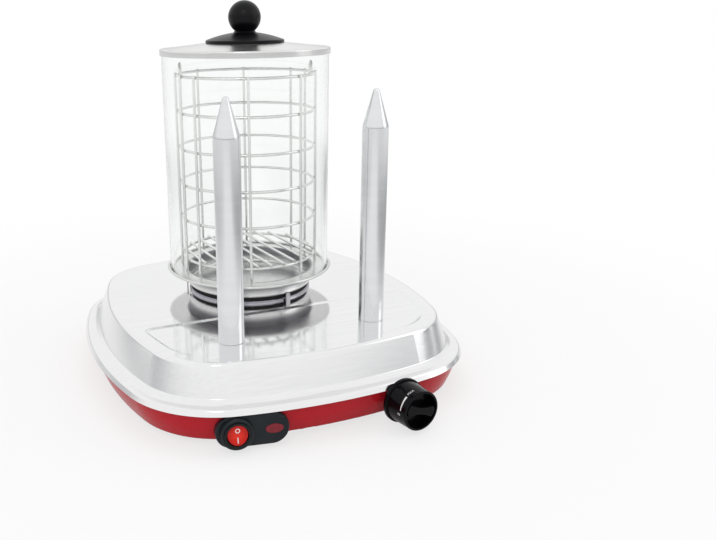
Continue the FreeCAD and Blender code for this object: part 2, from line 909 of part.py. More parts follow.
def make_rod_heaters():
    low = SPIKE_SEAT - spike_stud_l - rod_heater_tail
    rods = [disc(rod_heater_r, low, SPIKE_SEAT + rod_heater_l, side * spike_x, spike_y) for side in (-1, 1)]
    return Part.makeCompound(rods)


def make_spike_washers():
    low = SPIKE_UNDER - spike_washer_t
    hole = spike_stud_r + fit_gap
    washers = [ring(spike_washer_r, hole, low, SPIKE_UNDER, side * spike_x, spike_y) for side in (-1, 1)]
    return Part.makeCompound(washers)


def make_spike_nuts():
    low = SPIKE_UNDER - spike_washer_t - spike_nut_t
    nuts = []
    for side in (-1, 1):
        base = V(side * spike_x, spike_y, low)
        nuts.append(nut(spike_nut_af, spike_nut_t, spike_stud_r + thread_gap, base, UP))
    return Part.makeCompound(nuts)


def edges_at(shape, out):
    """Edges that lie in the plane at this distance out from the middle of the front."""
    return [e for e in shape.Edges if all(abs(v.Point.y - front_y(out)) < 0.01 for v in e.Vertexes)]


def make_control_pod():
    straight = pod_half - pod_r
    block = box(-straight, straight, front_y(pod_out), front_y(0), POD_Z - pod_r, POD_Z + pod_r)
    for side in (-1, 1):
        block = block.fuse(front_rod(pod_r, 0, pod_out, side * straight, POD_Z))
    block = block.removeSplitter()
    block = block.makeFillet(pod_edge_r, edges_at(block, pod_out))
    barrel = front_rod(barrel_r, 0, barrel_out, barrel_side, POD_Z)
    block = block.fuse(barrel.makeFillet(barrel_edge_r, edges_at(barrel, barrel_out)))
    block = block.cut(front_rod(switch_r + fit_gap, -1, 2 * barrel_out, barrel_side, POD_Z))
    recess = barrel_out + switch_flange_proud - switch_flange_t
    block = block.cut(front_rod(switch_flange_r + fit_gap, recess, 2 * barrel_out, barrel_side, POD_Z))
    block = block.cut(front_rod(lamp_r + fit_gap, -1, 2 * pod_out, lens_side, POD_Z))
    block = block.cut(lens_block(lens_gap, pod_out - lens_t + lens_proud, 2 * pod_out))
    block = at_front(block, pod_angle).cut(pan_skin())
    return max(block.Solids, key=lambda s: s.Volume).removeSplitter()


def lens_block(grow, out0, out1):
    """Oval block between two distances out from the plan."""
    half = lens_half + grow
    rise = lens_rise + grow
    y = front_y(out0)
    middle = V(lens_side, y, POD_Z)
    oval = Part.Ellipse(middle + V(half, 0, 0), middle + V(0, 0, rise), middle).toShape()
    return Part.Face(Part.Wire([oval])).extrude(V(0, out0 - out1, 0))


def make_indicator_lens():
    front = pod_out + lens_proud
    lens = lens_block(0, front - lens_t, front)
    return at_front(lens.makeFillet(lens_edge_r, edges_at(lens, front)), pod_angle)


def make_indicator_lamp():
    back = pod_out + lens_proud - lens_t
    lamp = front_rod(lamp_r, back - lamp_l, back, lens_side, POD_Z)
    return at_front(lamp, pod_angle)


SWITCH_FACE = barrel_out + switch_flange_proud
PIVOT_OUT = SWITCH_FACE + rocker_proud - rocker_pivot


def trunnions(r, reach):
    start = V(barrel_side - reach, front_y(PIVOT_OUT), POD_Z)
    return Part.makeCylinder(r, 2 * reach, start, RIGHT)


def make_switch_body():
    flange = front_rod(switch_flange_r, SWITCH_FACE - switch_flange_t, SWITCH_FACE, barrel_side, POD_Z)
    body = front_rod(switch_r, SWITCH_FACE - switch_l, SWITCH_FACE, barrel_side, POD_Z)
    body = body.fuse(flange).removeSplitter()
    floor = SWITCH_FACE - switch_bore_depth
    body = body.cut(front_rod(switch_bore_r, floor, 2 * SWITCH_FACE, barrel_side, POD_Z))
    body = body.cut(trunnions(trunnion_r + trunnion_gap, rocker_r + trunnion_l + trunnion_gap))
    return at_front(body, pod_angle)


def make_switch_blades():
    blades = []
    near = front_y(SWITCH_FACE - switch_l)
    x0 = barrel_side - blade_w / 2
    for i in (-1, 0, 1):
        z0 = POD_Z + i * blade_pitch - blade_t / 2
        blades.append(box(x0, x0 + blade_w, near, near + blade_l, z0, z0 + blade_t))
    return at_front(Part.makeCompound(blades), pod_angle)


def make_rocker():
    front = SWITCH_FACE + rocker_proud
    button = front_rod(rocker_r, front - rocker_depth, front, barrel_side, POD_Z)
    ahead = math.sqrt(rocker_hollow_r ** 2 - rocker_r ** 2)
    hollow = V(barrel_side - rocker_hollow_r, front_y(front) - ahead, POD_Z)
    button = button.cut(Part.makeCylinder(rocker_hollow_r, 2 * rocker_hollow_r, hollow, RIGHT))
    button = button.fuse(trunnions(trunnion_r, rocker_r + trunnion_l)).removeSplitter()
    pivot = V(barrel_side, front_y(PIVOT_OUT), POD_Z)
    button = button.rotated(pivot, RIGHT, -rocker_tilt)
    return at_front(button, pod_angle)


BUSH_END = pad_out + dial_nut_t + bush_over
KNOB_BACK = pad_out + collar_l + knob_gap


def make_stat_body():
    back = BUSH_END - bush_l
    low = DIAL_Z - stat_low
    case = box(-stat_w / 2, stat_w / 2, front_y(back), front_y(back - stat_d), low, low + stat_h)
    bush = front_rod(bush_r, back - 1, BUSH_END, 0, DIAL_Z)
    case = case.fuse(bush).removeSplitter()
    case = case.cut(front_rod(shaft_r + shaft_gap, back - stat_d / 2, 2 * BUSH_END, 0, DIAL_Z))
    return at_front(case, dial_angle)


def make_stat_nut():
    base = V(0, front_y(pad_out), DIAL_Z)
    return at_front(nut(dial_nut_af, dial_nut_t, bush_r + thread_gap, base, V(0, -1, 0)), dial_angle)


def make_knob_collar():
    outer = front_rod(collar_r, pad_out, pad_out + collar_l, 0, DIAL_Z)
    inner = front_rod(collar_r - collar_wall, pad_out - 1, pad_out + collar_l + 1, 0, DIAL_Z)
    return at_front(outer.cut(inner), dial_angle)


def make_shaft():
    back = BUSH_END - bush_l - stat_d / 2
    shaft = front_rod(shaft_r, back + shaft_gap, KNOB_BACK + knob_shaft_depth, 0, DIAL_Z)
    return at_front(shaft, dial_angle)


def finger_bar(floor, face, pocket_r):
    """Bar across the knob's pocket, drawn in at its middle, with rounded ends."""
    bulge = knob_bar_end / 4
    x = pocket_r - knob_bar_gap - bulge
    waist = knob_bar_waist / 2
    end = knob_bar_end / 2
    low = floor - 1
    edges = [Part.Arc(V(-x, end, low), V(0, waist, low), V(x, end, low)).toShape()]
    edges.append(Part.Arc(V(x, end, low), V(x + bulge, 0, low), V(x, -end, low)).toShape())
    edges.append(Part.Arc(V(x, -end, low), V(0, -waist, low), V(-x, -end, low)).toShape())
    edges.append(Part.Arc(V(-x, -end, low), V(-x - bulge, 0, low), V(-x, end, low)).toShape())
    bar = Part.Face(Part.Wire(edges)).extrude(V(0, 0, face - low))
    top = [e for e in bar.Edges if all(abs(v.Point.z - face) < 0.01 for v in e.Vertexes)]
    return bar.makeFillet(knob_edge_r, top).rotated(V(0, 0, 0), UP, knob_turn)


def make_knob():
    """Skirt and tapered drum, with a round pocket in the face and a finger bar across it."""
    face = knob_skirt_t + knob_drum_l
    points = [(0, 0), (knob_skirt_r, 0), (knob_skirt_r, knob_skirt_t), (knob_drum_r, knob_skirt_t)]
    points += [(knob_face_r, face), (0, face)]
    body = spin(outline_face(flat(points), [skirt_back_r, knob_edge_r, drum_foot_r, knob_edge_r]))
    floor = face - knob_pocket_depth
    pocket_r = knob_face_r - knob_rim_w
    body = body.cut(disc(pocket_r, floor, face + 1)).fuse(finger_bar(floor, face, pocket_r)).removeSplitter()
    body = body.cut(disc(shaft_r + shaft_gap, -1, knob_shaft_depth + hole_gap))
    body.Placement = FreeCAD.Placement(V(0, front_y(KNOB_BACK), DIAL_Z), FreeCAD.Rotation(RIGHT, 90))
    return at_front(body, dial_angle)


def make_cord_gland():
    flange = back_rod(gland_flange_r, 0, gland_flange_out, 0, GLAND_Z).cut(pan_skin())
    flange = max(flange.Solids, key=lambda s: s.Volume)
    neck = back_rod(gland_r, gland_in, gland_flange_out - 1, 0, GLAND_Z)
    gland = flange.fuse(neck).removeSplitter()
    return gland.cut(back_rod(gland_bore_r, 0, 2 * gland_flange_out, 0, GLAND_Z))


def make_terminal_block():
    x0 = block_x - block_w / 2
    y0 = block_y - block_d / 2
    return box(x0, x0 + block_w, y0, y0 + block_d, foot_h, foot_h + block_h)


def front_point(angle, x, out, z):
    """A point given at the middle of the front, turned round to its place on the front arc."""
    point = V(x, front_y(out), z) - FRONT_CENTRE
    return FreeCAD.Rotation(UP, angle).multVec(point) + FRONT_CENTRE


def front_lead(start, angle, x, out, z):
    """Lead from the terminal block to a point inside the front, ending square to it."""
    end = front_point(angle, x, out, z)
    before = front_point(angle, x, out - lead_end, z)
    return tube_along([start, start - BACK * lead_end, before, end], [lead_bend_r, lead_bend_r], lead_r)


def element_lead(start, side):
    """Lead from the terminal block down the middle and up to one leg of the element."""
    foot = element_foot(side) + BACK * axis_y
    points = [start, start - BACK * element_lead_run, V(foot.x, foot.y, start.z), foot]
    return tube_along(points, [lead_turn_r, lead_turn_r], lead_r)


def make_leads():
    """Leads from the terminal block to the switch, the thermostat and the element."""
    z = foot_h + block_h / 2
    y = block_y - block_d / 2
    first = block_x - 1.5 * lead_pitch
    starts = [V(first + lead_pitch * i, y, z) for i in range(4)]
    leads = [element_lead(starts[0], 1), element_lead(starts[1], -1)]
    leads.append(front_lead(starts[2], pod_angle, barrel_side, SWITCH_FACE - switch_l - blade_l, POD_Z))
    leads.append(front_lead(starts[3], dial_angle, 0, BUSH_END - bush_l - stat_d, DIAL_Z))
    return Part.makeCompound(leads)


PIECES = {
    "base_pan": make_base_pan,
    "bottom_plate": make_bottom_plate,
    "feet": make_feet,
    "cover_posts": make_posts,
    "base_screws": make_base_screws,
    "top_cover": make_top_cover,
    "bowl_seal": make_bowl_seal,
    "bowl_tabs": make_bowl_tabs,
    "steam_bowl": make_steam_bowl,
    "heater_plate": make_heater_plate,
    "heater_element": make_heater_element,
    "heater_bridge": make_heater_bridge,
    "heater_nut": make_heater_nut,
    "thermal_cutout": make_thermal_cutout,
    "spike_left": lambda: make_spike(-1),
    "spike_right": lambda: make_spike(1),
    "spike_heaters": make_rod_heaters,
    "spike_washers": make_spike_washers,
    "spike_nuts": make_spike_nuts,
    "control_pod": make_control_pod,
    "switch_body": make_switch_body,
    "switch_blades": make_switch_blades,
    "rocker": make_rocker,
    "indicator_lens": make_indicator_lens,
    "indicator_lamp": make_indicator_lamp,
    "thermostat_body": make_stat_body,
    "thermostat_nut": make_stat_nut,
    "thermostat_shaft": make_shaft,
    "knob_collar": make_knob_collar,
    "thermostat_knob": make_knob,
    "cord_gland": make_cord_gland,
    "terminal_block": make_terminal_block,
    "leads": make_leads,
    "glass_cylinder": make_glass,
    "lid_plate": make_lid_plate,
    "lid_knob": make_lid_knob,
    "lid_washer": make_lid_washer,
    "lid_screw": make_lid_screw,
    "basket_rings": make_basket_rings,
    "basket_uprights": make_basket_uprights,
    "basket_floor": make_basket_floor,
    "basket_grips": make_basket_grips,
}

os.makedirs("parts", exist_ok=True)
for name, make in PIECES.items():
    make().exportStep("parts/" + name + ".step")
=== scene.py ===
import math

import bmesh
import bpy
from mathutils import Matrix, Vector


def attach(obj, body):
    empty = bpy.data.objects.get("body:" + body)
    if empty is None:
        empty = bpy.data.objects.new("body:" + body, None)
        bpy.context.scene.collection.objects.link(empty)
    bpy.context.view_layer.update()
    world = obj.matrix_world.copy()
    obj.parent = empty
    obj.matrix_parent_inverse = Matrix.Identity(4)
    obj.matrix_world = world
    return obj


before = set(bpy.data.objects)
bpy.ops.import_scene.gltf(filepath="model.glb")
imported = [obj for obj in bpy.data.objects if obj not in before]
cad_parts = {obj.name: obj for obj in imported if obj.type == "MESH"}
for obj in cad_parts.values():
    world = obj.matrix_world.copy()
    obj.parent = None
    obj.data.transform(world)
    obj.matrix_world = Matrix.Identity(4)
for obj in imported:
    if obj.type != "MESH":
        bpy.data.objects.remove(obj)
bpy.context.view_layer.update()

# Studio. A seamless white sweep of paper under and behind the toaster, lit by large soft
# boxes from the left, from above and from the right. Grey flags to both sides show only in
# the steel. The camera stands in front, a little to the left, and looks slightly down.

stand = Vector((-0.27876, -0.70250, 0.33028))
look = Vector((0.3511, 0.8913, -0.2869)).normalized()
level = Vector((0.9304, -0.3665, 0.0)).normalized()
camera_roll = math.radians(0.87)
sideways = Matrix.Rotation(camera_roll, 3, look) @ level
upward = sideways.cross(look)

camera = bpy.data.objects.new("camera", bpy.data.cameras.new("camera"))
bpy.context.scene.collection.objects.link(camera)
turned = Matrix((sideways, upward, -look)).transposed().to_4x4()
camera.matrix_world = Matrix.Translation(stand) @ turned
camera.data.lens = 41.46
camera.data.sensor_width = 36.0
camera.data.shift_x = 0.1382
camera.data.shift_y = -0.0183
camera.data.clip_start = 0.01
bpy.context.scene.camera = camera
bpy.context.scene.view_settings.view_transform = "Standard"


def soft_box(name, at, aim, width, height, power, shines):
    """A lamp aimed at a point of the toaster. One that shines also shows in polished metal."""
    lamp = bpy.data.lights.new(name, "AREA")
    lamp.shape = "RECTANGLE"
    lamp.size = width
    lamp.size_y = height
    lamp.energy = power
    lit = bpy.data.objects.new(name, lamp)
    lit.visible_glossy = shines
    bpy.context.scene.collection.objects.link(lit)
    lit.location = at
    lit.rotation_euler = (Vector(aim) - Vector(at)).to_track_quat("-Z", "Y").to_euler()


soft_box("key_light", (-1.5, -1.1, 1.6), (0, 0, 0.1), 1.9, 1.9, 8.0, False)
soft_box("top_light", (0.1, 0.3, 1.9), (0, 0, 0.1), 1.8, 1.2, 4.5, False)
soft_box("fill_light", (1.6, -0.8, 0.9), (0, 0, 0.15), 0.9, 1.5, 2.5, True)
soft_box("glint_light", (-0.55, -1.0, 1.25), (0, 0, 0.2), 0.22, 0.22, 1.0, True)


class Value:
    """A number that varies over a surface, with Python's arithmetic on it."""

    def __init__(self, finish, socket):
        self.finish = finish
        self.socket = socket

    def math(self, operation, *values):
        return self.finish.node("Math", {"operation": operation}, dict(enumerate(values)))

    def __add__(self, other):
        return self.math("ADD", self, other)

    def __rsub__(self, other):
        return self.math("SUBTRACT", other, self)

    def __mul__(self, other):
        return self.math("MULTIPLY", self, other)

    def __pow__(self, other):
        return self.math("POWER", self, other)

    __radd__ = __add__
    __rmul__ = __mul__


class Finish:
    """A material whose nodes are written as one expression after another."""

    def __init__(self, name, tree=None):
        if tree is None:
            self.material = bpy.data.materials.new(name)
            self.material.use_nodes = True
            tree = self.material.node_tree
        self.tree = tree
        self.tree.nodes.clear()

    def node(self, kind, settings, sockets, out=0):
        made = self.tree.nodes.new("ShaderNode" + kind)
        for key, value in settings.items():
            setattr(made, key, value)
        for key, value in sockets.items():
            if isinstance(value, Value):
                self.tree.links.new(value.socket, made.inputs[key])
            else:
                made.inputs[key].default_value = value
        return Value(self, made.outputs[out]) if made.outputs else made

    def place(self, stretch=(1, 1, 1), centre=(0, 0, 0), turn=(0, 0, 0)):
        """Object coordinates, centred, turned and stretched."""
        at = self.node("TexCoord", {}, {}, "Object")
        at = self.node("Mapping", {}, {"Vector": at, "Location": [-c for c in centre]})
        return self.node("Mapping", {}, {"Vector": at, "Rotation": turn, "Scale": stretch})

    def along(self, letter):
        """Distance along the object's X, Y or Z."""
        return self.node("SeparateXYZ", {}, {"Vector": self.place()}, letter)

    def noise(self, scale, detail=3.0, stretch=(1, 1, 1)):
        sockets = {"Vector": self.place(stretch), "Scale": scale, "Detail": detail}
        return self.node("TexNoise", {}, sockets)

    def lines(self, along, scale, detail=4.0):
        """Fine parallel marks that vary along one number only."""
        sockets = {"W": along, "Scale": scale, "Detail": detail}
        return self.node("TexNoise", {"noise_dimensions": "1D"}, sockets)

    def from_axis(self, centre):
        """Distance from an upright axis, and the height along it."""
        at = self.place(centre=centre)
        x = self.node("SeparateXYZ", {}, {"Vector": at}, "X")
        y = self.node("SeparateXYZ", {}, {"Vector": at}, "Y")
        z = self.node("SeparateXYZ", {}, {"Vector": at}, "Z")
        return (x * x + y * y) ** 0.5, z

    def ramp(self, value, low, high, start=0.0, end=1.0):
        """Runs smoothly from start to end while value goes from low to high."""
        sockets = {"Value": value, "From Min": low, "From Max": high, "To Min": start, "To Max": end}
        return self.node("MapRange", {"interpolation_type": "SMOOTHSTEP"}, sockets)

    def reach(self, vector, direction):
        """How far a vector reaches in one direction."""
        sockets = {0: vector, 1: direction}
        return self.node("VectorMath", {"operation": "DOT_PRODUCT"}, sockets, "Value")

    def ray(self, kind):
        """One where a ray of this kind looks, and nought elsewhere."""
        return self.node("LightPath", {}, {}, kind)

    def mix(self, one, other, by):
        """Blends two colours."""
        sockets = {"Factor": by, 6: one, 7: other}
        return self.node("Mix", {"data_type": "RGBA"}, sockets, 2)

    def surface(self, color, roughness, height, depth, others):
        """Closes the material: its colour, roughness, relief and other sockets."""
        normal = self.node("Bump", {}, {"Height": height, "Distance": depth})
        sockets = {"Base Color": color, "Roughness": roughness, "Normal": normal}
        sockets.update(others)
        shader = self.node("BsdfPrincipled", {}, sockets)
        self.node("OutputMaterial", {}, {"Surface": shader})
        return self.material


def tone(red, green, blue):
    return (red, green, blue, 1.0)


paper = Finish("white_paper")
fibre = paper.noise(260.0, 4.0)
seen = paper.ray("Is Camera Ray")
mirrored = paper.ray("Is Glossy Ray")
through = paper.ray("Is Transmission Ray")
normal = paper.node("Bump", {}, {"Height": fibre, "Distance": 0.00005})
matt = paper.node("BsdfDiffuse", {}, {"Color": tone(0.86, 0.86, 0.86), "Normal": normal})
white = paper.node("Emission", {}, {"Color": tone(1, 1, 1), "Strength": 1.0})
away = paper.node("VectorMath", {"operation": "LENGTH"}, {0: paper.place()}, "Value")

# The paper turns pure white outside the toaster's soft shadow.
shadow_end = 0.25
white_start = 0.75
share = (seen + through) * paper.ramp(away, shadow_end, white_start, 0.70, 1.0) + mirrored * 0.35
lit_paper = paper.node("MixShader", {}, {0: share, 1: matt, 2: white})

# Each flag's shade on the paper starts near the toaster and is full further out to its side.
to_the_right = (0.94, -0.33, 0.0)
flag_reach = 0.7
flag_end = 1.7
across = paper.reach(paper.place(), to_the_right)
right_flag = paper.ramp(across, 0.22, 0.60) * 0.70
left_flag = paper.ramp(across, -0.28, -0.75) * 0.45
beside = (right_flag + left_flag) * paper.ramp(away, flag_end, flag_reach)
flag_grey = tone(0.92, 0.95, 1.0)
shade = paper.node("Emission", {}, {"Color": flag_grey, "Strength": 0.25})
flagged = paper.node("MixShader", {}, {0: mirrored * beside, 1: lit_paper, 2: shade})
paper.node("OutputMaterial", {}, {"Surface": flagged})

sheet = bmesh.new()
bmesh.ops.create_grid(sheet, x_segments=8, y_segments=8, size=9.0)
floor_mesh = bpy.data.meshes.new("floor")
sheet.to_mesh(floor_mesh)
sheet.free()
floor_mesh.materials.append(paper.material)
floor = bpy.data.objects.new("floor", floor_mesh)
bpy.context.scene.collection.objects.link(floor)

room = bpy.data.worlds.new("room")
room.use_nodes = True
bpy.context.scene.world = room
air = Finish("air", room.node_tree)
seen = air.ray("Is Camera Ray")
mirrored = air.ray("Is Glossy Ray")
through = air.ray("Is Transmission Ray")
bright = air.node("Background", {}, {"Color": tone(1, 1, 1), "Strength": 1.0})
dim = air.node("Background", {}, {"Color": tone(1, 1, 1), "Strength": 0.82})

# In polished metal the room is dusky near the horizon, most of all in front and at the right.
to_the_front = (-0.33, -0.94, 0.0)
way = air.node("TexCoord", {}, {}, "Object")
ahead = air.reach(way, to_the_front)
aside = air.reach(way, to_the_right)
height = air.node("SeparateXYZ", {}, {"Vector": way}, "Z")
low = air.ramp(height, 0.24, 0.02)
left = air.ramp(aside, -0.55, -0.92) * air.ramp(ahead, 0.75, 0.20)
right = air.ramp(aside, 0.50, 0.90) * air.ramp(ahead, 0.85, 0.30)
front = air.ramp(ahead, 0.35, 0.85)
horizon = left * 0.10 + right * 0.20 + front * 0.30 + 0.50
dusk = horizon * low + right * 0.07 + 0.03
night = air.node("Background", {}, {"Color": flag_grey, "Strength": 0.30})
mirror = air.node("MixShader", {}, {0: dusk, 1: bright, 2: night})
both = air.node("MixShader", {}, {0: mirrored, 1: dim, 2: mirror})
whole = air.node("MixShader", {}, {0: seen.math("MAXIMUM", seen, through), 1: both, 2: bright})
air.node("OutputWorld", {}, {"Surface": whole})


# Base pan. A deep round-cornered tray moulded in glossy red plastic, tapered down to its foot,
# with a boss for the dial. It carries everything and is screwed to the cover from below.

def dress(material, *nodes):
    """Gives carried-over pieces their finish."""
    for node in nodes:
        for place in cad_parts[node].material_slots:
            place.material = material


red = Finish("red_gloss")
cloud = red.noise(9.0, 2.0)
swirl = red.noise(40.0, 4.0)
peel = red.noise(900.0, 2.0)
color = red.mix(tone(0.42, 0.008, 0.016), tone(0.50, 0.014, 0.025), cloud)
relief = peel + cloud * 4.0
red.surface(color, 0.14 + swirl * 0.10, relief, 0.00002, {"Specular IOR Level": 0.15})
dress(red.material, "base_pan")


# Bottom plate, posts and screws. Zinc-plated sheet and turned rod: the plate closes the pan,
# and a screw in each corner pulls plate, pan and post together. The bridge under the heater,
# the nuts and the washers are plated alike.

def zinc_plate(name, shade, size):
    """Pale plated steel with the faint patches that the plating bath leaves."""
    zinc = Finish(name)
    patch = zinc.node("TexVoronoi", {}, {"Vector": zinc.place(), "Scale": size}, "Distance")
    cloud = zinc.noise(30.0, 4.0)
    fine = zinc.noise(700.0, 3.0, (1, 1, 0.2))
    pale = tone(shade, shade, shade * 1.02)
    deep = tone(shade * 0.72, shade * 0.73, shade * 0.77)
    color = zinc.mix(pale, deep, patch * 0.7 + cloud * 0.3)
    return zinc.surface(color, 0.28 + cloud * 0.22, fine, 0.00003, {"Metallic": 1.0})


zinc_sheet = zinc_plate("zinc_sheet", 0.62, 120.0)
zinc_parts = zinc_plate("zinc_parts", 0.55, 420.0)
dress(zinc_sheet, "bottom_plate", "heater_bridge")
dress(zinc_parts, "cover_posts", "base_screws", "heater_nut", "thermostat_nut")
dress(zinc_parts, "spike_washers", "spike_nuts")


# Feet. Four moulded black rubber buttons, pushed through the bottom plate and held there by
# their own heads.

def rubber(name, shade):
    """Matt black rubber, greyed where dust lies on it."""
    soft = Finish(name)
    dust = soft.noise(60.0, 5.0)
    skin = soft.noise(1400.0, 2.0)
    dusty = tone(shade * 2.2, shade * 2.1, shade * 2.0)
    color = soft.mix(tone(shade, shade, shade), dusty, dust ** 2.0)
    return soft.surface(color, 0.55 + dust * 0.25, skin, 0.00004, {"Specular IOR Level": 0.35})


dress(rubber("foot_rubber", 0.018), "feet")


# Top cover. Stainless sheet drawn over a form, with a sunk field at its front, polished along
# its length, so that fine straight grain runs across the whole top. The raised round seat
# under the bowl is rougher, and painted darker as painted shade in the gap under the bowl.

stack_axis = (0, 0.0325, 0)
shoulder_height = 0.0600
top_height = 0.0652
seat_foot = 0.0664
seat_top = 0.0668
seat_radius = 0.0598
seat_edge = 0.0605

steel = Finish("polished_cover")
grain = steel.noise(420.0, 5.0, (0.03, 1, 1))
wave = steel.noise(7.0, 2.0)
smear = steel.noise(22.0, 5.0, (0.5, 1, 1))
radius, rise = steel.from_axis(stack_axis)
flat_top = steel.ramp(rise, shoulder_height, top_height)
seat = steel.ramp(radius, seat_edge, seat_radius) * steel.ramp(rise, seat_foot, seat_top)
bright = steel.mix(tone(0.82, 0.82, 0.825), tone(0.91, 0.91, 0.915), grain)
# Painted shade: the seat under the bowl is darkened in place of the shadow in the gap there.
color = steel.mix(bright, tone(0.38, 0.37, 0.41), seat)
roughness = 0.12 - flat_top * 0.07 + smear * 0.07 + seat * 0.15
relief = grain + wave * 14.0
steel.surface(color, roughness, relief, 0.00002, {"Metallic": 1.0})
dress(steel.material, "top_cover")


# Seal and tabs. A black rubber ring carries the bowl on the raised seat of the flat top, and
# three upright steel tongues round it keep the bowl from shifting.

dress(rubber("seal_rubber", 0.012), "bowl_seal")
dress(zinc_parts, "bowl_tabs")


# Steam bowl. Stainless sheet spun to a round well with a flat flange and a rolled rim. It
# holds the water, and the glass and the basket stand on its flange.

def spun_steel(name, axis, low, high, rough, painted_shade=None):
    """Steel turned on a spinning lathe: fine rings round its axis, with painted shade and a rougher skin
    where the given mask says.
    """
    spun = Finish(name)
    radius, rise = spun.from_axis(axis)
    rings = spun.lines(radius + rise, 2600.0)
    broad = spun.lines(radius + rise, 160.0)
    smear = spun.noise(26.0, 4.0)
    dark = tone(low, low, low * 0.99)
    light = tone(high, high, high * 0.99)
    color = spun.mix(dark, light, rings * 0.6 + broad * 0.4)
    roughness = rough + smear * 0.14
    if painted_shade:
        # Painted shade: the mask darkens the steel's colour in place of a shadow, and also raises its
        # roughness.
        shade_and_dull = painted_shade(spun, radius, rise)
        color = spun.mix(color, tone(0.20, 0.20, 0.215), shade_and_dull)
        roughness = roughness + shade_and_dull * 0.1
    return spun.surface(color, roughness, rings + broad * 2.0, 0.00002, {"Metallic": 1.0})


def shade_under_flange(spun, radius, rise):
    """Painted shade on the bowl's outer wall, darker up under the flange where its shadow falls; also
    rougher there.
    """
    wall_inside = 0.0594
    wall_outside = 0.0598
    bend_start = 0.0615
    bend_end = 0.0640
    # Height band of the painted shade under the flange.
    shade_foot = 0.0745
    shade_top = 0.0830
    wall = spun.ramp(radius, wall_inside, wall_outside) * spun.ramp(radius, bend_end, bend_start)
    return wall * spun.ramp(rise, shade_foot, shade_top)


# The bowl's outer wall gets painted shade under its flange.
bowl_steel = spun_steel("spun_bowl", stack_axis, 0.66, 0.84, 0.16, shade_under_flange)
dress(bowl_steel, "steam_bowl")


# Heater. A cast aluminium plate under the bowl, with a sheathed element pressed into its
# underside. A bridge and a nut clamp it, and a ceramic cut-out guards it. The rod heaters in
# the spikes have the same sheath, and the thermostat and the terminal block are ceramic too.

cast = Finish("cast_aluminium")
sand = cast.noise(900.0, 4.0)
cloud = cast.noise(60.0, 5.0)
color = cast.mix(tone(0.50, 0.50, 0.50), tone(0.66, 0.66, 0.65), cloud)
cast.surface(color, 0.42 + sand * 0.2, sand, 0.00012, {"Metallic": 1.0})
dress(cast.material, "heater_plate")

heat = Finish("heat_tinted_sheath")
blush = heat.noise(45.0, 3.0)
fine = heat.noise(1200.0, 3.0)
color = heat.mix(tone(0.34, 0.30, 0.24), tone(0.20, 0.19, 0.22), blush)
heat.surface(color, 0.36 + fine * 0.2, fine, 0.00003, {"Metallic": 1.0})
dress(heat.material, "heater_element", "spike_heaters")

fired = Finish("fired_ceramic")
grit = fired.noise(1600.0, 3.0)
stain = fired.noise(80.0, 4.0)
color = fired.mix(tone(0.80, 0.77, 0.69), tone(0.66, 0.61, 0.52), stain ** 2.0)
fired.surface(color, 0.62 + grit * 0.2, grit, 0.00005, {})
dress(fired.material, "thermal_cutout", "thermostat_body", "terminal_block")


# Spikes. Turned aluminium tubes with a cone tip, finely polished on the lathe: the tool's
# rings go round them and light runs up them in soft strips.

spike = Finish("turned_aluminium")
rise = spike.along("Z")
rings = spike.lines(rise, 3200.0)
broad = spike.lines(rise, 140.0)
rub = spike.noise(24.0, 4.0, (1, 1, 0.25))
color = spike.mix(tone(0.72, 0.725, 0.735), tone(0.84, 0.845, 0.855), rings * 0.5 + broad * 0.5)
spike.surface(color, 0.11 + rub * 0.10, rings + broad, 0.00002, {"Metallic": 1.0})
dress(spike.material, "spike_left", "spike_right")


# Control pod. One dark moulding, fine-grained on its face, with a raised barrel for the
# switch and an eye-shaped window for the pilot light. It sits against the pan's front.

def front_turn(bearing):
    """Turns what is drawn at the middle of the front round to its place on the front arc."""
    arc_centre = Vector((0, 0.280, 0))
    turn = Matrix.Rotation(math.radians(bearing), 4, "Z")
    return Matrix.Translation(arc_centre) @ turn @ Matrix.Translation(-arc_centre)


def moulding(name, color, dust_color, rough, gloss):
    """Moulded plastic with a fine spark-eroded grain and a little dust on it."""
    shell = Finish(name)
    dust = shell.noise(45.0, 5.0)
    spark = shell.noise(2400.0, 2.0)
    shade = shell.mix(tone(*color), tone(*dust_color), dust ** 2.0)
    depth = rough * 0.00008
    return shell.surface(shade, rough + dust * 0.12, spark, depth, {"Specular IOR Level": gloss})


pod_plastic = moulding("pod_plastic", (0.006, 0.010, 0.013), (0.022, 0.026, 0.030), 0.24, 0.22)
dress(pod_plastic, "control_pod")
switch_black = (0.003, 0.004, 0.005)
switch_plastic = moulding("switch_plastic", switch_black, (0.010, 0.011, 0.012), 0.12, 0.24)
dress(switch_plastic, "switch_body")


# Rocker. A round button in clear orange-red plastic, hollowed across its face for the
# fingertip and lit from behind, with a printed ring for off and a bar for on.

rocker_x = -0.013
rocker_y = -0.1786
rocker_z = 0.0177
pivot_y = -0.1733
rest_tilt = Matrix.Rotation(math.radians(-7.5), 4, "X")
pod_turn = front_turn(-9.5)
pivot = Vector((rocker_x, pivot_y, rocker_z))
rocker_tilt = Matrix.Translation(pivot) @ rest_tilt @ Matrix.Translation(-pivot)

glow = Finish("lit_orange")
face_middle = pod_turn @ Vector((rocker_x, rocker_y, rocker_z))
sockets = {0: glow.place(), 1: face_middle}
away = glow.node("VectorMath", {"operation": "DISTANCE"}, sockets, "Value")
heart = glow.ramp(away, 0.009, 0.001)
swirl = glow.noise(320.0, 3.0)
color = glow.mix(tone(0.45, 0.008, 0.006), tone(0.62, 0.025, 0.012), heart)
lamp_color = glow.mix(tone(0.10, 0.0, 0.0), tone(1.0, 0.045, 0.020), heart * (0.75 + swirl * 0.4))
lit = {"Emission Color": lamp_color, "Emission Strength": 0.10, "Specular IOR Level": 0.20}
glow.surface(color, 0.16 + swirl * 0.06, swirl, 0.00001, lit)
dress(glow.material, "rocker")

